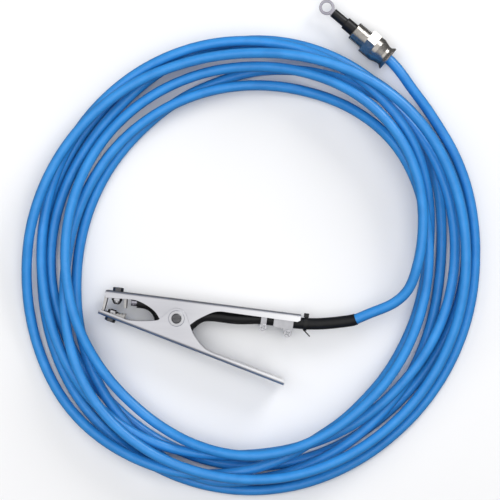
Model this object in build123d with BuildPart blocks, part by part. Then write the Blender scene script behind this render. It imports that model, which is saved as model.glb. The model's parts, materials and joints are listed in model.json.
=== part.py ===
from build123d import *
import math
import os

# Spring ground clamp with its coiled work cable, strain-relief connector and ring terminal.
# The clamp lies on its side inside the coil. +Z is up and the coil rests on Z = 0.
# Lengths are millimetres.

# ---- where things are ----
coil_x = -0.5
coil_y = -18.8
pivot_x = coil_x - 79.2
pivot_y = coil_y - 56.2
clamp_middle_z = 21.5
arm_heading = -7.3
arms_included_angle = 13.9

# ---- cable ----
cable_radius = 5.5
cable_spacing = 11.3
floor_height = cable_radius + 1.0
core_radius = 3.5
sleeve_bore = 5.55
sleeve_radius = 6.2
station_step = 10
stations_per_edge = 4

# Each turn of the coil, from the clamp end to the connector end, as
# (angle about the coil's centre, radius) where the strand changes course.
turns = [
    [(0, 176), (45, 209), (90, 212), (135, 208), (180, 197), (225, 194), (270, 201), (315, 189)],
    [(0, 189), (45, 200), (90, 193), (135, 192), (180, 198), (225, 221), (270, 227), (315, 227)],
    [(0, 228), (45, 234), (90, 225), (135, 232), (180, 240), (210, 247), (225, 246), (250, 234),
     (260, 226), (270, 217), (280, 207), (290, 197), (315, 187)],
    [(0, 189), (45, 221), (90, 239), (135, 236), (180, 224), (225, 221), (270, 203), (315, 203)],
    [(0, 217), (45, 227), (70, 218), (90, 208), (101, 200), (135, 186), (180, 187), (225, 211),
     (257, 234), (270, 230), (315, 210)],
    [(0, 204), (45, 232), (90, 241), (135, 219), (180, 215), (225, 211), (270, 216), (315, 216),
     (340, 223)],
    [(0, 230), (45, 239), (90, 232), (135, 230), (180, 225), (225, 236), (270, 242), (315, 238)],
    [(0, 241), (20, 247), (35, 251)],
]

# ---- clamp arms: pressed channels, measured from the pivot along and across each web ----
sheet = 2.0
upper_web = 20.5
upper_width = 25.8
upper_start = -78.5
upper_end = 131.0
upper_bend = 3.0
lower_web = 25.3
lower_width = 30.0
lower_start = -80.0
lower_end = 131.5
lower_bend = 4.0

# ---- pivot ----
pivot_bolt_radius = 3.0
pivot_hole_radius = 3.05
pivot_spacer_radius = 4.0
pivot_head_radius = 5.3
pivot_washer_radius = 8.5
pivot_washer_thick = 1.2
spring_wire = 1.1
spring_radius = 5.4
spring_turns = 8 + 1 / 3
spring_half_width = 9.6
spring_leg_length = 35.5
lower_leg_length = 38.6
upper_leg_heading = 20
lower_leg_heading = -40

# ---- jaw contacts ----
contact_thick = 2.5
contact_half_width = 9.5
jaw_bolt_at = -66.0
jaw_bolt_radius = 3.0
jaw_bolt_hole = 3.1
jaw_hex = 10.0
jaw_head_height = 4.0

# ---- cable saddle in the handle ----
saddle_half_width = 10.8
saddle_sheet = 1.5
saddle_top = 18.4
saddle_web_sheet = 0.8
saddle_start = 88.0
saddle_end = 124.0
saddle_screws_at = [(92.4, 2.9), (118.8, -0.9)]
saddle_screw_radius = 1.8
saddle_head_radius = 4.0

# ---- connector and ring terminal ----
terminal_x = coil_x + 81.3
terminal_y = coil_y + 276.9
connector_heading = -40.1
ring_hole_radius = 5.2
ring_radius = 8.2
ring_thick = 2.4
barrel_radius = 4.3
barrel_bore = 3.6
thread_radius = 10.5
body_hex = 26.0
connector_z = body_hex / 2 / math.cos(math.radians(30))


# ---- helpers ----
def clamp_point(u, v, w=0.0):
    """A point at u along the upper web, v across it and w above the clamp's middle plane."""
    turn = math.radians(arm_heading)
    x = pivot_x + u * math.cos(turn) - v * math.sin(turn)
    y = pivot_y + u * math.sin(turn) + v * math.cos(turn)
    return (x, y, clamp_middle_z + w)


def side_plane(heading, w):
    """The plane of an arm's side, seen from above, w above the middle plane."""
    turn = math.radians(heading)
    return Plane(
        origin=(pivot_x, pivot_y, clamp_middle_z + w),
        x_dir=(math.cos(turn), math.sin(turn), 0),
        z_dir=(0, 0, 1),
    )


def end_plane(heading, u, v):
    """The plane across an arm at u and v, facing along the arm. Its local X points down."""
    turn = math.radians(heading)
    side = side_plane(heading, 0)
    return Plane(
        origin=side.from_local_coords((u, v, 0)),
        x_dir=(0, 0, -1),
        z_dir=(math.cos(turn), math.sin(turn), 0),
    )


def up_plane(heading, u, v, w=0.0):
    """The plane facing across the web at u, v and w, with its normal along +v."""
    side = side_plane(heading, w)
    return Plane(
        origin=side.from_local_coords((u, v, 0)),
        x_dir=side.x_dir,
        z_dir=side.y_dir,
    )


def smooth_edge(points, start_heading, end_heading):
    """A curve through the points, with its parameter as the length so far along the chords."""
    places = [Vector(p) for p in points]
    lengths = [0.0]
    for before, after in zip(places, places[1:]):
        lengths.append(lengths[-1] + (after - before).length)
    return Edge.make_spline(
        places, tangents=(start_heading, end_heading), parameters=lengths, scale=False
    )


def chain(points, start_heading, end_heading, steps):
    """Short curves through the points, a few steps each, which meet with the same direction."""
    places = [Vector(p) for p in points]
    last_place = len(places) - 1
    headings = [start_heading]
    for before, after in zip(places, places[2:]):
        headings.append((after - before).normalized())
    headings.append(end_heading)
    edges = []
    for first in range(0, last_place, steps):
        last = min(first + steps, last_place)
        edges.append(smooth_edge(places[first:last + 1], headings[first], headings[last]))
    return edges


def save(piece, name):
    piece.part.label = name
    export_step(piece.part, f"parts/{name}.step")


def bolt(plane, head_sketch, head_height, shank_radius, shank_length, edge=0.5):
    """A bolt whose head stands on the plane and whose shank runs back through it."""
    with BuildPart() as made:
        extrude(head_sketch, amount=head_height)
        chamfer(made.faces().sort_by(Axis(plane.origin, plane.z_dir))[-1].edges(), edge)
        with BuildSketch(plane):
            Circle(shank_radius)
        extrude(amount=-shank_length)
    return made


def hexagon(plane, across_flats):
    with BuildSketch(plane) as made:
        RegularPolygon(across_flats / 2, 6, major_radius=False)
    return made.sketch


def hex_nut(plane, across_flats, height, bore):
    """A nut standing on the plane."""
    with BuildPart() as made:
        extrude(hexagon(plane, across_flats), amount=height)
        chamfer(made.faces().sort_by(Axis(plane.origin, plane.z_dir))[-1].edges(), 0.5)
        with BuildSketch(plane):
            Circle(bore)
        extrude(amount=height, mode=Mode.SUBTRACT)
    return made


def channel_section(plane, width, depth, bend):
    """A pressed channel's cross-section, with its web along the plane's local X axis."""
    with BuildSketch(plane) as made:
        Rectangle(width, depth, align=(Align.CENTER, Align.MAX))
        fillet(made.vertices().group_by(Axis.Y)[-1], bend)
        with Locations((0, -sheet)):
            Rectangle(width - 2 * sheet, depth, align=(Align.CENTER, Align.MAX), mode=Mode.SUBTRACT)
    return made.sketch


# ---- cable course ----
def strand_radius(stations, angle):
    """A smooth radius through (angle, radius) stations, with slopes from each neighbour pair."""
    index = 1
    while index < len(stations) - 1 and stations[index][0] < angle:
        index += 1
    a0, r0 = stations[index - 1]
    a1, r1 = stations[index]
    before = stations[max(index - 2, 0)]
    after = stations[min(index + 1, len(stations) - 1)]
    span = a1 - a0
    slope0 = (r1 - before[1]) / (a1 - before[0])
    slope1 = (after[1] - r0) / (after[0] - a0)
    t = (angle - a0) / span
    bend_in = (t**3 - 2 * t**2 + t) * span * slope0
    bend_out = (t**3 - t**2) * span * slope1
    return (2 * t**3 - 3 * t**2 + 1) * r0 + bend_in + (3 * t**2 - 2 * t**3) * r1 + bend_out


def widened(heights, reach):
    """Each height raised to the highest within reach, so that smoothing never lowers a strand."""
    last = len(heights) - 1
    return [max(heights[max(i - reach, 0): min(i + reach, last) + 1]) for i in range(last + 1)]


def averaged(heights):
    last = len(heights) - 1
    return [
        (heights[max(i - 1, 0)] + heights[i] + heights[min(i + 1, last)]) / 3 for i in range(last + 1)
    ]


def settled_heights(radii):
    """Each strand lies on the floor or on the later strands that pass under it."""
    around = 360 // station_step
    heights = [floor_height] * len(radii)
    for _ in range(len(turns) + 4):
        needed = [floor_height] * len(radii)
        for i, radius in enumerate(radii):
            for under in range(i + around, len(radii), around):
                for j in range(under - 1, min(under + 2, len(radii))):
                    apart = abs(radii[j] - radius)
                    if apart < cable_spacing:
                        rise = math.sqrt(cable_spacing**2 - apart**2)
                        needed[i] = max(needed[i], heights[j] + rise)
        heights = averaged(widened(needed, 1))
    return heights


stations = [(360 * k + angle, radius) for k, turn in enumerate(turns) for angle, radius in turn]
angles = list(range(0, stations[-1][0] + 1, station_step))
strand_radii = [strand_radius(stations, angle) for angle in angles]
strand_heights = settled_heights(strand_radii)
coil_points = [
    (coil_x + r * math.cos(math.radians(a)), coil_y + r * math.sin(math.radians(a)), z)
    for a, r, z in zip(angles, strand_radii, strand_heights)
]

# The lead runs from the jaw, under the pivot, through the handle and out towards the coil.
tie_at = 137.0
tie_centre = 11.6
lead_start_u = -44.0
lead_start_v = 11.6
lead_start = clamp_point(lead_start_u, lead_start_v)
lead_points = [
    lead_start,
    clamp_point(-37.5, 11.7),
    clamp_point(-28.0, 9.3),
    clamp_point(-20.6, 2.6),
    clamp_point(-13.5, -7.6),
    clamp_point(0.0, -13.2),
    clamp_point(12.0, -8.0),
    clamp_point(20.5, 1.2),
    clamp_point(29.0, 6.2),
    clamp_point(45.0, 7.6),
    clamp_point(66.0, 8.0),
    clamp_point(88.0, 10.9),
    clamp_point(106.0, 11.1),
    clamp_point(130.0, 11.3),
    clamp_point(tie_at, tie_centre),
    clamp_point(148.0, 12.7),
    clamp_point(163.0, 15.5),
    clamp_point(179.0, 19.4),
    clamp_point(190.0, 23.2, 0.6),
]
lead_end_heading = Vector(0.915, 0.36, 0.18).normalized()
run_in_points = [
    lead_points[-1],
    (coil_x + 127.3, coil_y - 50.8, 25.2),
    (coil_x + 148.7, coil_y - 41.7, 31.0),
    (coil_x + 166.0, coil_y - 26.5, 37.4),
]

# The connector's axis runs from the ring terminal down to the cable's entry.
connector_turn = math.radians(connector_heading)
connector_dir = Vector(math.cos(connector_turn), math.sin(connector_turn), 0)
terminal_origin = Vector(terminal_x, terminal_y, connector_z)


def connector_point(s):
    """A point s along the connector's axis from the ring terminal's centre."""
    return terminal_origin + connector_dir * s


def connector_plane(s):
    return Plane(origin=connector_point(s), x_dir=(0, 0, -1), z_dir=connector_dir)


cable_entry = 86.0
cable_stop = 28.0
run_out_points = [
    (coil_x + 192.1, coil_y + 164.2, 8.6),
    (coil_x + 171.2, coil_y + 192.1, 13.2),
    connector_point(cable_entry),
]

os.makedirs("parts", exist_ok=True)

# ---- upper arm: the fixed arm, which carries the cable ----
with BuildPart() as upper_arm:
    extrude(
        channel_section(end_plane(arm_heading, upper_start, upper_web), upper_width, 40, upper_bend),
        amount=upper_end - upper_start,
    )
    with BuildSketch(side_plane(arm_heading, -upper_width / 2)):
        with BuildLine():
            Polyline((-19.0, -1.1), (-12, -11))
            ThreePointArc((-12, -11), (0, -15.5), (11.5, -8.5))
            Spline((11.5, -8.5), (22.5, 1.8), (29.9, 6.8), (47.3, 13.4), tangents=((1, 1), (1, 0.04)))
            Polyline((47.3, 13.4), (128, 12.6), (upper_end, 14.5), (upper_end, 21), (upper_start, 21))
            Polyline((upper_start, 21), (upper_start, 14), (-77, 12.5), (-58, 13.6))
            Spline(
                (-58, 13.6), (-47.4, 13.9), (-38.6, 12.0), (-29.3, 7.9), (-19.0, -1.1),
                tangents=((1, 0.05), (0.7, -1)),
            )
        make_face()
    extrude(amount=upper_width, mode=Mode.INTERSECT)
    with BuildSketch(side_plane(arm_heading, -upper_width / 2)):
        Circle(pivot_hole_radius)
    extrude(amount=upper_width, mode=Mode.SUBTRACT)
    with BuildSketch(up_plane(arm_heading, jaw_bolt_at, 0)):
        Circle(jaw_bolt_hole)
    extrude(amount=40, mode=Mode.SUBTRACT)

# ---- lower arm: the moving arm, with its ears outside the upper arm's ----
lower_heading = arm_heading - arms_included_angle
with BuildPart() as lower_arm:
    section_plane = end_plane(lower_heading, lower_start, -lower_web)
    section_plane = Plane(origin=section_plane.origin, x_dir=(0, 0, 1), z_dir=section_plane.z_dir)
    extrude(channel_section(section_plane, lower_width, 60, lower_bend), amount=lower_end - lower_start)
    with BuildSketch(side_plane(lower_heading, -lower_width / 2)):
        with BuildLine():
            Polyline((-17.65, -8.6), (-9.66, 5.58))
            ThreePointArc((-9.66, 5.58), (0, 11.15), (7.88, 7.88))
            Polyline((7.88, 7.88), (20.8, -7.2))
            Spline(
                (20.8, -7.2), (27.6, -12.6), (35.5, -17.5), (50.6, -20.4),
                tangents=((0.68, -0.73), (1, -0.03)),
            )
            Polyline((50.6, -20.4), (128.5, -19.6), (lower_end, -21.5), (lower_end, -26))
            Polyline((lower_end, -26), (lower_start, -26), (lower_start, -21.5), (-78.5, -20.4))
            Polyline((-78.5, -20.4), (-50, -20.4))
            Spline(
                (-50, -20.4), (-41.3, -18.7), (-30.6, -14.8), (-17.65, -8.6),
                tangents=((1, 0.02), (0.86, 0.5)),
            )
        make_face()
    extrude(amount=lower_width, mode=Mode.INTERSECT)
    with BuildSketch(side_plane(lower_heading, -lower_width / 2)):
        Circle(pivot_hole_radius)
    extrude(amount=lower_width, mode=Mode.SUBTRACT)
    with BuildSketch(up_plane(lower_heading, jaw_bolt_at, 0)):
        Circle(jaw_bolt_hole)
    extrude(amount=-40, mode=Mode.SUBTRACT)

# ---- pivot ----
washer_gap = 0.05
top_washer = lower_width / 2 + washer_gap
head_top = top_washer + pivot_washer_thick + washer_gap
nut_height = 5.0
with BuildPart() as pivot_bolt:
    with BuildSketch(side_plane(arm_heading, head_top)):
        Circle(pivot_head_radius)
    extrude(amount=3.2)
    fillet(pivot_bolt.faces().sort_by(Axis.Z)[-1].edges(), 1.2)
    with BuildSketch(side_plane(arm_heading + 5, head_top + 3.2)):
        Rectangle(2 * pivot_head_radius, 1.4)
    extrude(amount=-1.4, mode=Mode.SUBTRACT)
    with BuildSketch(side_plane(arm_heading, head_top)):
        Circle(pivot_bolt_radius)
    extrude(amount=-(2 * head_top + nut_height - 1))

with BuildPart() as pivot_washers:
    for start in (top_washer, -top_washer - pivot_washer_thick):
        with BuildSketch(side_plane(arm_heading, start)):
            Circle(pivot_washer_radius)
            Circle(pivot_hole_radius, mode=Mode.SUBTRACT)
        extrude(amount=pivot_washer_thick)
    rims = pivot_washers.faces().filter_by(GeomType.PLANE).sort_by(Axis.Z)
    chamfer([rims[0].outer_wire().edges()[0], rims[-1].outer_wire().edges()[0]], 0.4)

nut_plane = Plane(
    origin=(pivot_x, pivot_y, clamp_middle_z - head_top), x_dir=(1, 0, 0), z_dir=(0, 0, -1)
)
pivot_lock_nut = hex_nut(nut_plane, 10.0, nut_height, pivot_hole_radius)

with BuildPart() as pivot_spacer:
    spacer_length = upper_width - 2 * sheet - 0.1
    with BuildSketch(side_plane(arm_heading, -spacer_length / 2)):
        Circle(pivot_spacer_radius)
        Circle(pivot_hole_radius, mode=Mode.SUBTRACT)
    extrude(amount=spacer_length)

# The torsion spring's coil sits round the spacer and its legs push the two handles apart.
leg_start_angle = 90 + upper_leg_heading
leg_end_angle = lower_leg_heading - 90 + 360
points_per_turn = 12


def spring_point(turns_down):
    """A point on the coil, so many turns anticlockwise and down from the upper leg."""
    turn = math.radians(leg_start_angle) + 2 * math.pi * turns_down
    rise = spring_half_width * (1 - 2 * turns_down / spring_turns)
    return clamp_point(spring_radius * math.cos(turn), spring_radius * math.sin(turn), rise)


coil_steps = round(spring_turns * points_per_turn)
spring_points = [spring_point(spring_turns * step / coil_steps) for step in range(coil_steps + 1)]
spring_start = -side_plane(arm_heading + upper_leg_heading, 0).x_dir
spring_finish = side_plane(arm_heading + lower_leg_heading, 0).x_dir
with BuildPart() as torsion_spring:
    with BuildSketch(Plane(origin=spring_points[0], z_dir=spring_start)):
        Circle(spring_wire)
    sweep(path=Wire(chain(spring_points, spring_start, spring_finish, 6)), clean=False)
    for angle, heading, w, length in (
        (leg_start_angle, upper_leg_heading, spring_half_width, spring_leg_length),
        (leg_end_angle, lower_leg_heading, -spring_half_width, lower_leg_length),
    ):
        bend = side_plane(arm_heading + angle, w).from_local_coords((spring_radius, 0, 0))
        along = side_plane(arm_heading + heading, w).x_dir
        with BuildSketch(Plane(origin=bend, z_dir=along)):
            Circle(spring_wire)
        extrude(amount=length)
        with Locations(bend):
            Sphere(spring_wire)

# ---- upper contact: a bent plate under the upper web, with a long front lip ----
contact_base_top = upper_web - sheet - ring_thick - 0.1
with BuildPart() as upper_contact:
    with BuildSketch(side_plane(arm_heading, -contact_half_width)):
        with BuildLine():
            Polyline(
                (-77.0, contact_base_top),
                (-55.5, contact_base_top),
                (-54.6, 3.6),
                (-57.1, 3.4),
                (-58.0, contact_base_top - contact_thick),
                (-75.6, contact_base_top - contact_thick),
                (-77.8, -2.0),
                (-80.3, -2.0),
                (-79.0, contact_base_top - 1.5),
                (-77.0, contact_base_top),
            )
        make_face()
    extrude(amount=2 * contact_half_width)
    with BuildSketch(up_plane(arm_heading, jaw_bolt_at, 0)):
        Circle(jaw_bolt_hole)
    extrude(amount=40, mode=Mode.SUBTRACT)

# ---- jaw terminal: the lead's eye, clamped between the web and the contact ----
eye_low = contact_base_top + 0.05
with BuildPart() as jaw_terminal:
    with BuildSketch(up_plane(arm_heading, jaw_bolt_at, eye_low)):
        Circle(7.5)
        with Locations((7.0, 0)):
            Rectangle(14.0, 10.0)
    extrude(amount=ring_thick)
    with BuildSketch(side_plane(arm_heading, -4.3)):
        with BuildLine():
            Polyline(
                (-54.0, eye_low),
                (-54.0, eye_low + ring_thick),
                (-51.0, eye_low + ring_thick),
                (-49.5, lead_start_v + 3.4),
                (-49.5, lead_start_v - 3.4),
                (-52.0, eye_low - 1),
                (-54.0, eye_low),
            )
        make_face()
    extrude(amount=8.6)
    with BuildSketch(end_plane(arm_heading, -50.5, lead_start_v)):
        Circle(barrel_radius + 0.4)
    extrude(amount=6.3)
    with BuildSketch(end_plane(arm_heading, -48.5, lead_start_v)):
        Circle(barrel_bore)
    extrude(amount=10, mode=Mode.SUBTRACT)
    with BuildSketch(up_plane(arm_heading, jaw_bolt_at, 0)):
        Circle(jaw_bolt_hole)
    extrude(amount=40, mode=Mode.SUBTRACT)

upper_bolt_plane = up_plane(arm_heading, jaw_bolt_at, upper_web + 0.02)
upper_contact_bolt = bolt(
    upper_bolt_plane, hexagon(upper_bolt_plane, jaw_hex), jaw_head_height, jaw_bolt_radius, 11.2
)

# A domed nut closes the bolt's end between the contact's lips.
dome_top = contact_base_top - contact_thick - 0.02
with BuildPart() as upper_contact_nut:
    down = up_plane(arm_heading, jaw_bolt_at, dome_top)
    down = Plane(origin=down.origin, x_dir=down.x_dir, z_dir=down.z_dir * -1)
    extrude(hexagon(down, jaw_hex), amount=3.2)
    with BuildSketch(down.offset(3.2)):
        Circle(4.6)
    extrude(amount=3.8)
    fillet(upper_contact_nut.faces().sort_by(Axis(down.origin, down.z_dir))[-1].edges(), 3.4)
    with BuildSketch(down):
        Circle(jaw_bolt_hole)
    extrude(amount=4.5, mode=Mode.SUBTRACT)

# ---- lower contact: a toothed tray on the lower web, level with the upper arm when closed ----
lower_contact_half = 12.0
lower_contact_wall = 2.0
tray_low = -lower_web + sheet + 0.02
teeth = 6
with BuildPart() as lower_contact:
    with BuildSketch(side_plane(lower_heading, -lower_contact_half)):
        with BuildLine():
            Polyline(
                (-78.6, tray_low), (-52.4, tray_low), (-52.4, -15.9), (-78.2, -22.1), (-78.6, tray_low)
            )
        make_face()
    extrude(amount=2 * lower_contact_half)
    with BuildSketch(side_plane(lower_heading, -lower_contact_half + lower_contact_wall)):
        with BuildLine():
            Polyline((-74.5, -20.8), (-50, -20.8), (-50, -10), (-74.5, -10), (-74.5, -20.8))
        make_face()
    extrude(amount=2 * (lower_contact_half - lower_contact_wall), mode=Mode.SUBTRACT)
    for tooth in range(teeth):
        along = -72.0 + 3.4 * tooth
        edge_height = -15.9 + (along + 52.4) * math.tan(math.radians(arms_included_angle))
        with BuildSketch(side_plane(lower_heading, -lower_contact_half)):
            with BuildLine():
                Polyline(
                    (along - 1.1, edge_height + 0.6),
                    (along + 1.1, edge_height + 0.6),
                    (along, edge_height - 1.5),
                    (along - 1.1, edge_height + 0.6),
                )
            make_face()
        extrude(amount=2 * lower_contact_half, mode=Mode.SUBTRACT)
    with BuildSketch(up_plane(lower_heading, jaw_bolt_at, 0)):
        Circle(jaw_bolt_hole)
    extrude(amount=-40, mode=Mode.SUBTRACT)

lower_up = up_plane(lower_heading, jaw_bolt_at, -lower_web - 0.02)
lower_bolt_plane = Plane(origin=lower_up.origin, x_dir=lower_up.x_dir, z_dir=lower_up.z_dir * -1)
lower_contact_bolt = bolt(
    lower_bolt_plane, hexagon(lower_bolt_plane, jaw_hex), jaw_head_height, jaw_bolt_radius, 9.5
)
lower_contact_nut = hex_nut(up_plane(lower_heading, jaw_bolt_at, -20.75), jaw_hex, 4.0, 3.05)

# ---- cable saddle: a bracket in the handle whose cheeks stand either side of the cable ----
with BuildPart() as cable_saddle:
    with BuildSketch(side_plane(arm_heading, -saddle_half_width)):
        with BuildLine():
            Polyline(
                (saddle_start, saddle_top),
                (saddle_end, saddle_top),
                (saddle_end, 3.9),
                (122.8, -0.9),
            )
            ThreePointArc((122.8, -0.9), (118.8, -4.7), (114.8, -0.9))
            Polyline((114.8, -0.9), (113.0, 3.9), (103.0, 3.9), (103.0, 14.0), (95.5, 14.0), (95.5, 2.9))
            ThreePointArc((95.5, 2.9), (92.4, -0.2), (89.3, 2.9))
            Polyline((89.3, 2.9), (89.3, 14.0), (saddle_start, 14.0), (saddle_start, saddle_top))
        make_face()
    extrude(amount=2 * saddle_half_width)
    with BuildSketch(side_plane(arm_heading, -saddle_half_width + saddle_sheet)):
        with Locations(((saddle_start + saddle_end) / 2, saddle_top - saddle_web_sheet)):
            Rectangle(60, 50, align=(Align.CENTER, Align.MAX))
    extrude(amount=2 * (saddle_half_width - saddle_sheet), mode=Mode.SUBTRACT)
    with BuildSketch(side_plane(arm_heading, -saddle_half_width)):
        with Locations(*saddle_screws_at):
            Circle(saddle_screw_radius + 0.1)
    extrude(amount=2 * saddle_half_width, mode=Mode.SUBTRACT)

saddle_gap = 0.05
with BuildPart() as saddle_screws:
    for u, v in saddle_screws_at:
        head_plane = side_plane(arm_heading, saddle_half_width + saddle_gap)
        with BuildSketch(head_plane):
            with Locations((u, v)):
                Circle(saddle_head_radius)
        extrude(amount=2.6)
        with BuildSketch(head_plane.offset(2.6)):
            with Locations(Location((u, v), 35)):
                Rectangle(5.0, 1.0)
                Rectangle(1.0, 5.0)
        extrude(amount=-1.2, mode=Mode.SUBTRACT)
        with BuildSketch(head_plane):
            with Locations((u, v)):
                Circle(saddle_screw_radius)
        extrude(amount=-(2 * saddle_half_width + 4.2))

with BuildPart() as saddle_nuts:
    for u, v in saddle_screws_at:
        with BuildSketch(side_plane(arm_heading, -saddle_half_width - saddle_gap)):
            with Locations((u, v)):
                RegularPolygon(3.5, 6, major_radius=False)
                Circle(saddle_screw_radius + 0.05, mode=Mode.SUBTRACT)
        extrude(amount=-3.2)

# ---- lead: the cable's first stretch in its black sleeve, from the jaw into the handle ----
lead_dir = side_plane(arm_heading, 0).x_dir
lead_edges = chain(lead_points, lead_dir, lead_end_heading, 4)
sleeved_edges = lead_edges[:3]
shrink_edges = lead_edges[3:]
with BuildPart() as lead_sleeve:
    with BuildSketch(Plane(origin=lead_start, z_dir=lead_dir)):
        Circle(sleeve_radius)
    sweep(path=Wire(sleeved_edges), clean=False)

with BuildPart() as heat_shrink:
    with BuildSketch(Plane(origin=shrink_edges[0] @ 0, z_dir=shrink_edges[0] % 0)):
        Circle(sleeve_radius)
    sweep(path=Wire(shrink_edges), clean=False)

# ---- cable: one blue run from the heat shrink, round the coil and into the connector ----
tail_edge = Edge.make_line(connector_point(cable_entry), connector_point(cable_stop))
coil_edges = chain(
    [*run_in_points, *coil_points, *run_out_points],
    lead_end_heading,
    connector_dir * -1,
    stations_per_edge,
)
with BuildPart() as cable:
    with BuildSketch(Plane(origin=lead_points[-1], z_dir=lead_end_heading)):
        Circle(cable_radius)
    sweep(path=Wire([*coil_edges, tail_edge]), clean=False)

# The copper core's bared ends, one in each terminal's barrel.
with BuildPart() as cable_core:
    with BuildSketch(connector_plane(cable_stop)):
        Circle(core_radius)
    extrude(amount=-13)
    with BuildSketch(end_plane(arm_heading, lead_start_u, lead_start_v)):
        Circle(core_radius)
    extrude(amount=-4)

# ---- cable tie just behind the upper arm ----
with BuildPart() as cable_tie:
    with BuildSketch(end_plane(arm_heading, tie_at - 1.8, tie_centre)):
        Circle(sleeve_radius + 1.4)
        Circle(sleeve_radius + 0.3, mode=Mode.SUBTRACT)
    extrude(amount=3.6)
    with BuildSketch(end_plane(arm_heading, tie_at - 2.6, tie_centre)):
        with Locations((0, sleeve_radius + 2.6)):
            Rectangle(6.4, 4.4)
    extrude(amount=5.2)
    with BuildSketch(side_plane(arm_heading, 2.0)):
        with BuildLine():
            Polyline((135.4, 4.2), (136.4, 5.1), (143.6, -0.9), (142.8, -1.8), (135.4, 4.2))
        make_face()
    extrude(amount=3.4)

# ---- ring terminal ----
with BuildPart() as ring_terminal:
    flat = Plane(
        origin=terminal_origin - Vector(0, 0, ring_thick / 2), x_dir=connector_dir, z_dir=(0, 0, 1)
    )
    with BuildSketch(flat):
        Circle(ring_radius)
        with Locations((7.0, 0)):
            Rectangle(14.0, 8.2)
    extrude(amount=ring_thick)
    with BuildSketch(connector_plane(11.5)):
        Circle(barrel_radius)
    extrude(amount=15)
    with BuildSketch(connector_plane(14.5)):
        Circle(barrel_bore)
    extrude(amount=14, mode=Mode.SUBTRACT)
    with BuildSketch(flat):
        Circle(ring_hole_radius)
    extrude(amount=ring_thick, mode=Mode.SUBTRACT)

# ---- stepped sleeves over the terminal's barrel and the cable's end ----
with BuildPart() as barrel_sleeve:
    with BuildSketch(connector_plane(9.0)):
        Circle(4.95)
        Circle(barrel_radius + 0.05, mode=Mode.SUBTRACT)
    extrude(amount=18.8)

with BuildPart() as cable_end_sleeve:
    with BuildSketch(connector_plane(25.8)):
        Circle(6.8)
        Circle(5.0, mode=Mode.SUBTRACT)
    extrude(amount=2.1)
    with BuildSketch(connector_plane(27.9)):
        Circle(6.8)
        Circle(sleeve_bore, mode=Mode.SUBTRACT)
    extrude(amount=11.6)
    front = cable_end_sleeve.faces().sort_by(Axis(terminal_origin, connector_dir))[0]
    fillet(front.outer_wire().edges(), 0.8)

# ---- connector body: thread, hexagon and socket for the grommet ----
thread_start = 38.5
hex_start = 55.6
body_end = 66.0
thread_pitch = 1.8
thread_depth = 1.0
with BuildPart() as connector_body:
    with BuildSketch(connector_plane(thread_start)):
        Circle(thread_radius)
    extrude(amount=hex_start - thread_start + 0.5)
    extrude(hexagon(connector_plane(hex_start), body_hex), amount=body_end - hex_start)
    chamfer(connector_body.faces().sort_by(Axis(terminal_origin, connector_dir))[0].edges(), 1.0)
    groove = thread_start + 1.9
    while groove < hex_start - 1.5:
        with BuildSketch(connector_plane(groove)):
            Circle(thread_radius + 1)
            Circle(thread_radius - thread_depth, mode=Mode.SUBTRACT)
        extrude(amount=thread_pitch / 2, mode=Mode.SUBTRACT)
        groove += thread_pitch
    with BuildSketch(connector_plane(thread_start)):
        Circle(7.0)
    extrude(amount=20, mode=Mode.SUBTRACT)
    with BuildSketch(connector_plane(58.0)):
        Circle(8.6)
    extrude(amount=body_end - 58.0, mode=Mode.SUBTRACT)

# ---- grommet squeezed round the cable inside the body ----
with BuildPart() as connector_grommet:
    with BuildSketch(connector_plane(58.1)):
        Circle(8.5)
        Circle(sleeve_bore, mode=Mode.SUBTRACT)
    extrude(amount=10.5)

# ---- compression cap with its flared mouth ----
cap_axis_plane = Plane(
    origin=terminal_origin, x_dir=connector_dir, z_dir=connector_dir.cross(Vector(0, 0, 1))
)
with BuildPart() as connector_cap:
    with BuildSketch(cap_axis_plane):
        with BuildLine():
            Polyline(
                (66.1, 8.8), (66.1, 13.4), (71.0, 13.6), (78.8, 11.0), (81.5, 11.0), (85.0, 13.6)
            )
            Polyline((85.0, 13.6), (86.2, 13.2), (82.5, 9.2), (79.5, 6.6), (69.0, 6.6), (69.0, 8.8))
            Polyline((69.0, 8.8), (66.1, 8.8))
        make_face()
    revolve(axis=Axis(terminal_origin, connector_dir))

save(upper_arm, "upper_arm")
save(lower_arm, "lower_arm")
save(pivot_bolt, "pivot_bolt")
save(pivot_washers, "pivot_washers")
save(pivot_lock_nut, "pivot_lock_nut")
save(pivot_spacer, "pivot_spacer")
save(torsion_spring, "torsion_spring")
save(upper_contact, "upper_contact")
save(jaw_terminal, "jaw_terminal")
save(upper_contact_bolt, "upper_contact_bolt")
save(upper_contact_nut, "upper_contact_nut")
save(lower_contact, "lower_contact")
save(lower_contact_bolt, "lower_contact_bolt")
save(lower_contact_nut, "lower_contact_nut")
save(cable_saddle, "cable_saddle")
save(saddle_screws, "saddle_screws")
save(saddle_nuts, "saddle_nuts")
save(cable, "cable")
save(cable_core, "cable_core")
save(lead_sleeve, "lead_sleeve")
save(heat_shrink, "heat_shrink")
save(cable_tie, "cable_tie")
save(ring_terminal, "ring_terminal")
save(barrel_sleeve, "barrel_sleeve")
save(cable_end_sleeve, "cable_end_sleeve")
save(connector_body, "connector_body")
save(connector_grommet, "connector_grommet")
save(connector_cap, "connector_cap")
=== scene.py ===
import json
import math

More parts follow.
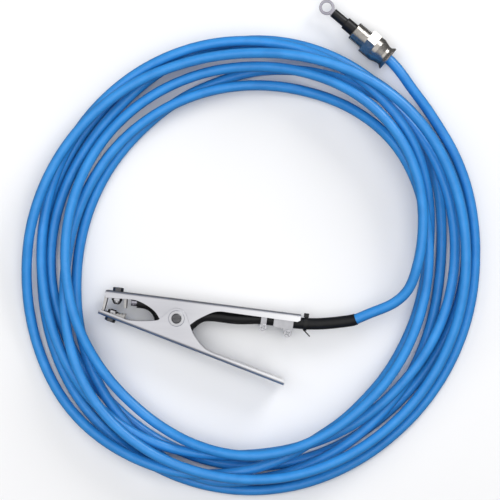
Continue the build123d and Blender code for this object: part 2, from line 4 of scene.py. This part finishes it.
import bpy
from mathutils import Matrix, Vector


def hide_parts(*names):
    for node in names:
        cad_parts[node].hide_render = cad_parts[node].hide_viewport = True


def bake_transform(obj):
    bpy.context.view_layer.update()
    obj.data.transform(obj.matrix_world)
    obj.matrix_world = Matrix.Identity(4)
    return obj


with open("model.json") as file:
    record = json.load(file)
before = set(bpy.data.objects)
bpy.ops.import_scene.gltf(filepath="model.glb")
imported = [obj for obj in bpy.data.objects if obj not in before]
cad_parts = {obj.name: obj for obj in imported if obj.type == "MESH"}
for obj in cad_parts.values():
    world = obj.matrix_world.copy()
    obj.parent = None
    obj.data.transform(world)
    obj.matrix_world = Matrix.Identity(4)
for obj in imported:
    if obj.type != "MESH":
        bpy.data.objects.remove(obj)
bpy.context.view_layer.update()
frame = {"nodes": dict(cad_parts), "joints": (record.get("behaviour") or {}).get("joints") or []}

# Ground clamp: materials for every CAD node, a torsion spring wire, and the studio.
# Everything is in metres, in the CAD's own frame.

MM = 0.001
PIVOT = Vector(frame["joints"][0]["pos_m"])
UPPER_HEADING = -7.3
LOWER_HEADING = -21.2


def towards(heading):
    """The level direction at a heading in degrees, anticlockwise from +X."""
    turn = math.radians(heading)
    return Vector((math.cos(turn), math.sin(turn), 0))


# ---- node helpers ----
def new_material(name):
    """A material with its nodes cleared down to a Principled shader and an output."""
    made = bpy.data.materials.new(name)
    made.use_nodes = True
    nodes = made.node_tree.nodes
    nodes.clear()
    shader = nodes.new("ShaderNodeBsdfPrincipled")
    output = nodes.new("ShaderNodeOutputMaterial")
    made.node_tree.links.new(shader.outputs["BSDF"], output.inputs["Surface"])
    return made, shader


def add_node(made, kind, inputs=None, **settings):
    """A node with its settings, and with each input linked to a socket or set to a value."""
    node = made.node_tree.nodes.new(kind)
    for key, value in settings.items():
        setattr(node, key, value)
    for key, value in (inputs or {}).items():
        if hasattr(value, "is_linked"):
            made.node_tree.links.new(value, node.inputs[key])
        else:
            node.inputs[key].default_value = value
    return node


def connect(made, source, target):
    made.node_tree.links.new(source, target)


def coordinates(made, scale=(1, 1, 1), turn=0.0):
    """Object coordinates, turned about Z and stretched."""
    place = add_node(made, "ShaderNodeTexCoord")
    mapping = add_node(made, "ShaderNodeMapping", {"Vector": place.outputs["Object"]})
    mapping.inputs["Rotation"].default_value = (0, 0, turn)
    mapping.inputs["Scale"].default_value = scale
    return mapping.outputs["Vector"]


def noise(made, vector, scale, detail=4.0, roughness=0.55):
    node = add_node(
        made,
        "ShaderNodeTexNoise",
        {"Vector": vector, "Scale": scale, "Detail": detail, "Roughness": roughness},
    )
    return node.outputs["Fac"]


def ramp(made, factor, low, high, start=0.3, end=0.7):
    """A colour ramp between two colours."""
    node = add_node(made, "ShaderNodeValToRGB", {"Fac": factor})
    node.color_ramp.elements[0].position = start
    node.color_ramp.elements[0].color = (*low, 1)
    node.color_ramp.elements[1].position = end
    node.color_ramp.elements[1].color = (*high, 1)
    return node.outputs["Color"]


def spread(made, factor, low, high):
    """A value stretched from 0..1 to low..high."""
    node = add_node(made, "ShaderNodeMapRange", {"Value": factor, "To Min": low, "To Max": high})
    return node.outputs["Result"]


def blended(made, factor, colour, other):
    """The colour socket mixed towards a plain colour by the factor."""
    mixed = made.node_tree.nodes.new("ShaderNodeMix")
    mixed.data_type = "RGBA"
    connect(made, factor, mixed.inputs["Factor"])
    connect(made, colour, mixed.inputs[6])
    mixed.inputs[7].default_value = (*other, 1)
    return mixed.outputs[2]


def bumped(made, shader, height, distance, strength=0.6, edge=0.0):
    """Bump from a height, over edges softened by the bevel node when edge isn't zero."""
    bump = add_node(
        made, "ShaderNodeBump", {"Height": height, "Distance": distance, "Strength": strength}
    )
    if edge:
        rounded = add_node(made, "ShaderNodeBevel", {"Radius": edge}, samples=BEVEL_SAMPLES)
        connect(made, rounded.outputs["Normal"], bump.inputs["Normal"])
    connect(made, bump.outputs["Normal"], shader.inputs["Normal"])
    return bump


# ---- materials ----
HANDLE_LENGTH = 130 * MM
# near-white colour of the painted highlight towards the handles' ends
HANDLE_HIGHLIGHT_STEEL = (0.95, 0.95, 0.96)
BEVEL_SAMPLES = 4
BLOTCH_SCALE = 60
SMEAR_SCALE = 18
CLOUD_SCALE = 45
WAVE_SCALE = 150
METAL_GRAIN_DEPTH = 0.008 * MM
NO_STRETCH = (1, 1, 1)
BRUSHED = (0.06, 1, 1)


def painted_handle_highlight(made, colour):
    """A painted highlight: brighter plating towards the handles' ends."""
    place = add_node(made, "ShaderNodeTexCoord").outputs["Object"]
    split = add_node(made, "ShaderNodeSeparateXYZ", {"Vector": place})
    along = add_node(
        made,
        "ShaderNodeMapRange",
        {"Value": split.outputs["X"], "From Min": PIVOT.x, "From Max": PIVOT.x + HANDLE_LENGTH},
    )
    return blended(made, along.outputs["Result"], colour, HANDLE_HIGHLIGHT_STEEL)


def painted_edge_highlight(made, colour, edge, edge_highlight):
    """A painted highlight: a brighter line where the surface turns over an edge."""
    rounded = add_node(made, "ShaderNodeBevel", {"Radius": edge}, samples=BEVEL_SAMPLES)
    normal = add_node(made, "ShaderNodeNewGeometry").outputs["Normal"]
    turn = add_node(made, "ShaderNodeVectorMath", operation="DOT_PRODUCT")
    connect(made, rounded.outputs["Normal"], turn.inputs[0])
    connect(made, normal, turn.inputs[1])
    amount = add_node(
        made,
        "ShaderNodeMapRange",
        {"Value": turn.outputs["Value"], "From Min": 1.0, "From Max": 0.75, "To Max": 0.8},
    )
    return blended(made, amount.outputs["Result"], colour, edge_highlight)


def metal(
    name, dark, light, rough, heading=0.0, streaks=NO_STRETCH, grain=1600,
    edge=0.35 * MM, handle_highlight=False, edge_highlight=None,
):
    """Plated or bare metal: blotches in the plating and a fine grain, which runs along heading.
    edge is how far edges look rounded, rubbed paints a highlight brighter towards the handles'
    ends, and shine is the colour of a painted highlight along the edges."""
    made, shader = new_material(name)
    shader.inputs["Metallic"].default_value = 1.0
    place = coordinates(made, streaks, -math.radians(heading))
    blotch = noise(made, place, BLOTCH_SCALE, 5, 0.6)
    fine = noise(made, place, grain, 3, 0.6)
    colour = ramp(made, blotch, dark, light, 0.3, 0.72)
    # paint a highlight brighter towards the handles' ends
    if handle_highlight:
        colour = painted_handle_highlight(made, colour)
    # paint a highlight along the edges
    if edge_highlight:
        colour = painted_edge_highlight(made, colour, edge, edge_highlight)
    connect(made, colour, shader.inputs["Base Color"])
    connect(made, spread(made, fine, rough - 0.07, rough + 0.09), shader.inputs["Roughness"])
    bumped(made, shader, fine, METAL_GRAIN_DEPTH, 0.5, edge)
    return made


def soft(name, dark, light, rough, grain, depth, coat=0.0, outline_shade=None, wave=0.0):
    """Rubber or plastic: cloudy colour, a fine skin texture and smears that change the gloss.
    limb is the colour of painted shade that the surface turns to near its outline, and wave the
    depth of the shallow unevenness of a drawn or shrunk skin."""
    made, shader = new_material(name)
    place = coordinates(made)
    cloud = noise(made, place, CLOUD_SCALE, 4, 0.6)
    fine = noise(made, place, grain, 4, 0.65)
    smear = noise(made, place, SMEAR_SCALE, 3, 0.5)
    uneven = noise(made, place, WAVE_SCALE, 2, 0.5)
    colour = ramp(made, cloud, dark, light, 0.25, 0.75)
    # painted shade: the colour darkens towards the outline, where the surface turns away
    if outline_shade:
        facing = add_node(made, "ShaderNodeLayerWeight", {"Blend": 0.35}).outputs["Facing"]
        colour = blended(made, spread(made, facing, 0.0, 0.85), colour, outline_shade)
    connect(made, colour, shader.inputs["Base Color"])
    connect(made, spread(made, smear, rough - 0.08, rough + 0.1), shader.inputs["Roughness"])
    shader.inputs["Specular IOR Level"].default_value = 0.35
    shader.inputs["Coat Weight"].default_value = coat
    shader.inputs["Coat Roughness"].default_value = 0.25
    low = add_node(made, "ShaderNodeBump", {"Height": uneven, "Distance": wave, "Strength": 0.6})
    skin = bumped(made, shader, fine, depth, 0.5)
    connect(made, low.outputs["Normal"], skin.inputs["Normal"])
    return made


STEEL_DARK = (0.56, 0.56, 0.59)
STEEL_LIGHT = (0.66, 0.66, 0.69)
materials = {
    "upper_steel": metal(
        "upper_steel", STEEL_DARK, STEEL_LIGHT, 0.34, UPPER_HEADING, BRUSHED, handle_highlight=True
    ),
    "lower_steel": metal(
        "lower_steel", STEEL_DARK, STEEL_LIGHT, 0.34, LOWER_HEADING, BRUSHED, handle_highlight=True
    ),
    "saddle_steel": metal("saddle_steel", (0.42, 0.42, 0.44), (0.56, 0.56, 0.58), 0.32),
    "washer_steel": metal("washer_steel", (0.56, 0.56, 0.58), (0.68, 0.68, 0.70), 0.36),
    "bright_steel": metal(
        "bright_steel", (0.46, 0.46, 0.48), (0.68, 0.68, 0.70), 0.24, edge=0.9 * MM
    ),
    "dark_steel": metal(
        "dark_steel", (0.07, 0.07, 0.075), (0.17, 0.17, 0.175), 0.36, edge_highlight=(0.50, 0.50, 0.51)
    ),
    "spring_steel": metal("spring_steel", (0.10, 0.10, 0.11), (0.20, 0.20, 0.21), 0.35),
    "contact_steel": metal(
        "contact_steel", (0.36, 0.35, 0.34), (0.58, 0.57, 0.56), 0.34, edge_highlight=(0.70, 0.69, 0.68)
    ),
    "tinned": metal("tinned", (0.30, 0.29, 0.34), (0.46, 0.45, 0.50), 0.26, edge=0.9 * MM),
    "nickel": metal("nickel", (0.36, 0.34, 0.31), (0.56, 0.53, 0.49), 0.25),
    "copper": metal("copper", (0.50, 0.20, 0.09), (0.72, 0.34, 0.18), 0.35),
    "jacket": soft(
        "jacket", (0.024, 0.235, 0.64), (0.038, 0.31, 0.78), 0.34, 700, 0.05 * MM,
        coat=0.25, outline_shade=(0.008, 0.13, 0.34), wave=0.15 * MM,
    ),
    "sleeve": soft(
        "sleeve", (0.003, 0.003, 0.004), (0.009, 0.009, 0.010), 0.38, 500, 0.08 * MM, wave=0.7 * MM
    ),
    "nylon": soft("nylon", (0.006, 0.006, 0.006), (0.014, 0.014, 0.014), 0.36, 900, 0.03 * MM),
    "rubber": soft("rubber", (0.010, 0.010, 0.010), (0.022, 0.022, 0.022), 0.6, 1200, 0.05 * MM),
}
NODE_MATERIALS = {
    "upper_arm": "upper_steel",
    "lower_arm": "lower_steel",
    "pivot_bolt": "dark_steel",
    "pivot_washers": "washer_steel",
    "pivot_lock_nut": "dark_steel",
    "pivot_spacer": "bright_steel",
    "torsion_spring": "spring_steel",
    "upper_contact": "contact_steel",
    "jaw_terminal": "tinned",
    "upper_contact_bolt": "dark_steel",
    "upper_contact_nut": "bright_steel",
    "lower_contact": "contact_steel",
    "lower_contact_bolt": "dark_steel",
    "lower_contact_nut": "bright_steel",
    "cable_saddle": "saddle_steel",
    "saddle_screws": "bright_steel",
    "saddle_nuts": "bright_steel",
    "cable": "jacket",
    "cable_core": "copper",
    "lead_sleeve": "sleeve",
    "heat_shrink": "sleeve",
    "cable_tie": "nylon",
    "ring_terminal": "tinned",
    "barrel_sleeve": "sleeve",
    "cable_end_sleeve": "sleeve",
    "connector_body": "nickel",
    "connector_grommet": "rubber",
    "connector_cap": "nickel",
}
for node_name, material_name in NODE_MATERIALS.items():
    node = frame["nodes"][node_name]
    node.data.materials.clear()
    node.data.materials.append(materials[material_name])


# ---- torsion spring: a wire coiled round the pivot between the two arms ----
SPRING_WIRE = 1.1 * MM
SPRING_RADIUS = 5.4 * MM
SPRING_TURNS = 8 + 1 / 3
SPRING_HALF = 9.6 * MM
UPPER_LEG_HEADING = UPPER_HEADING + 20
UPPER_LEG_LENGTH = 35.4 * MM
LOWER_LEG_HEADING = UPPER_HEADING - 40
LOWER_LEG_LENGTH = 38.4 * MM
LEG_STEPS = 8
COIL_STEPS = 200
WIRE_SIDES = 14


def spring_points():
    """In from the upper leg's tip, down round the coil and out to the lower leg's tip."""
    first_angle = UPPER_LEG_HEADING + 90
    first = PIVOT + towards(first_angle) * SPRING_RADIUS + Vector((0, 0, SPRING_HALF))
    upper_leg = towards(UPPER_LEG_HEADING) * UPPER_LEG_LENGTH
    points = [first + upper_leg * (1 - i / LEG_STEPS) for i in range(LEG_STEPS)]
    for i in range(COIL_STEPS + 1):
        part = i / COIL_STEPS
        rise = Vector((0, 0, SPRING_HALF * (1 - 2 * part)))
        points.append(PIVOT + towards(first_angle + 360 * SPRING_TURNS * part) * SPRING_RADIUS + rise)
    last = points[-1]
    lower_leg = towards(LOWER_LEG_HEADING) * LOWER_LEG_LENGTH
    return points + [last + lower_leg * i / LEG_STEPS for i in range(1, LEG_STEPS + 1)]


def wire(name, points, radius, sides, material):
    """A closed round wire through the points."""
    last = len(points) - 1
    vertices, faces = [], []
    side = (points[1] - points[0]).orthogonal()
    for i, place in enumerate(points):
        ahead = (points[min(i + 1, last)] - points[max(i - 1, 0)]).normalized()
        side = (side - ahead * side.dot(ahead)).normalized()
        other = ahead.cross(side)
        for k in range(sides):
            turn = 2 * math.pi * k / sides
            vertices.append(place + (side * math.cos(turn) + other * math.sin(turn)) * radius)
    for i in range(last):
        for k in range(sides):
            a = i * sides + k
            b = i * sides + (k + 1) % sides
            faces.append((a, b, b + sides, a + sides))
    faces.append(tuple(reversed(range(sides))))
    faces.append(tuple(range(last * sides, (last + 1) * sides)))
    mesh = bpy.data.meshes.new(name)
    mesh.from_pydata([tuple(v) for v in vertices], [], faces)
    for polygon in mesh.polygons:
        polygon.use_smooth = len(polygon.vertices) == 4
    mesh.materials.append(materials[material])
    made = bpy.data.objects.new(name, mesh)
    bpy.context.scene.collection.objects.link(made)
    return made


spring = wire("spring_wire", spring_points(), SPRING_WIRE, WIRE_SIDES, "spring_steel")
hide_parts("torsion_spring")
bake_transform(spring)


# ---- floor, light and camera ----
FLOOR_HALF = 4.0
FLOOR_DROP = 0.5 * MM
FLOOR_DARK = (0.90, 0.90, 0.90)
FLOOR_LIGHT = (0.93, 0.93, 0.93)
FLOOR_REFLECTED = (0.14, 0.14, 0.145, 1)
HORIZON = (0.17, 0.17, 0.18, 1)
HALF_WAY_UP = (0.26, 0.26, 0.27, 1)
OVERHEAD = (1.0, 1.0, 1.01, 1)
SKY_STRENGTH = 1.1
PICTURE_WIDTH = 0.535
CAMERA_HEIGHT = 2.2
CAMERA_PLACE = (-1.6 * MM, -2.2 * MM, CAMERA_HEIGHT + 20 * MM)
SENSOR_WIDTH = 36
# Each light's name, place, size, power, and whether reflections show it.
LIGHTS = (
    ("key_light", (1.25, 1.45, 1.15), 0.9, 20, True),
    ("back_light", (-1.3, 0.5, 1.6), 1.2, 8, False),
    ("top_light", (0.0, 0.0, 2.9), 2.4, 25, False),
)


def floor_material():
    """Pale paper. Reflections see it darker, so that metal edges keep their dark lines."""
    made, shader = new_material("floor")
    place = coordinates(made)
    colour = ramp(made, noise(made, place, 3, 2), FLOOR_DARK, FLOOR_LIGHT)
    connect(made, colour, shader.inputs["Base Color"])
    shader.inputs["Roughness"].default_value = 0.9
    shade = add_node(made, "ShaderNodeBsdfDiffuse")
    shade.inputs["Color"].default_value = FLOOR_REFLECTED
    mixed = add_node(made, "ShaderNodeMixShader")
    connect(made, add_node(made, "ShaderNodeLightPath").outputs["Is Glossy Ray"], mixed.inputs[0])
    connect(made, shader.outputs["BSDF"], mixed.inputs[1])
    connect(made, shade.outputs["BSDF"], mixed.inputs[2])
    output = next(n for n in made.node_tree.nodes if n.type == "OUTPUT_MATERIAL")
    connect(made, mixed.outputs["Shader"], output.inputs["Surface"])
    return made


def sky():
    """A soft studio surround: bright overhead, darker towards the horizon."""
    world = bpy.data.worlds.new("studio")
    bpy.context.scene.world = world
    world.use_nodes = True
    nodes = world.node_tree.nodes
    links = world.node_tree.links
    nodes.clear()
    output = nodes.new("ShaderNodeOutputWorld")
    background = nodes.new("ShaderNodeBackground")
    place = nodes.new("ShaderNodeTexCoord")
    split = nodes.new("ShaderNodeSeparateXYZ")
    band = nodes.new("ShaderNodeValToRGB")
    stops = band.color_ramp.elements
    stops[0].position = 0.25
    stops[0].color = HORIZON
    stops[1].position = 0.92
    stops[1].color = OVERHEAD
    middle = stops.new(0.7)
    middle.color = HALF_WAY_UP
    links.new(place.outputs["Generated"], split.inputs["Vector"])
    links.new(split.outputs["Z"], band.inputs["Fac"])
    links.new(band.outputs["Color"], background.inputs["Color"])
    links.new(background.outputs["Background"], output.inputs["Surface"])
    background.inputs["Strength"].default_value = SKY_STRENGTH


def pale_floor():
    floor_mesh = bpy.data.meshes.new("floor")
    corners = [(-1, -1), (1, -1), (1, 1), (-1, 1)]
    floor_mesh.from_pydata(
        [(x * FLOOR_HALF, y * FLOOR_HALF, 0) for x, y in corners], [], [(0, 1, 2, 3)]
    )
    floor_mesh.materials.append(floor_material())
    floor = bpy.data.objects.new("floor", floor_mesh)
    floor.location.z = -FLOOR_DROP
    bpy.context.scene.collection.objects.link(floor)


def lights():
    for name, place, size, power, reflected in LIGHTS:
        lamp = bpy.data.lights.new(name, "AREA")
        lamp.size = size
        lamp.energy = power
        holder = bpy.data.objects.new(name, lamp)
        holder.location = place
        holder.visible_glossy = reflected
        holder.rotation_euler = (-Vector(place)).to_track_quat("-Z", "Y").to_euler()
        bpy.context.scene.collection.objects.link(holder)


def overhead_camera():
    """Straight above the coil, looking down."""
    camera = bpy.data.cameras.new("camera")
    camera.sensor_width = SENSOR_WIDTH
    camera.lens = SENSOR_WIDTH * CAMERA_HEIGHT / PICTURE_WIDTH
    camera.clip_end = 20
    holder = bpy.data.objects.new("camera", camera)
    holder.location = CAMERA_PLACE
    bpy.context.scene.collection.objects.link(holder)
    bpy.context.scene.camera = holder


pale_floor()
sky()
lights()
overhead_camera()
bpy.context.scene.view_settings.view_transform = "Standard"
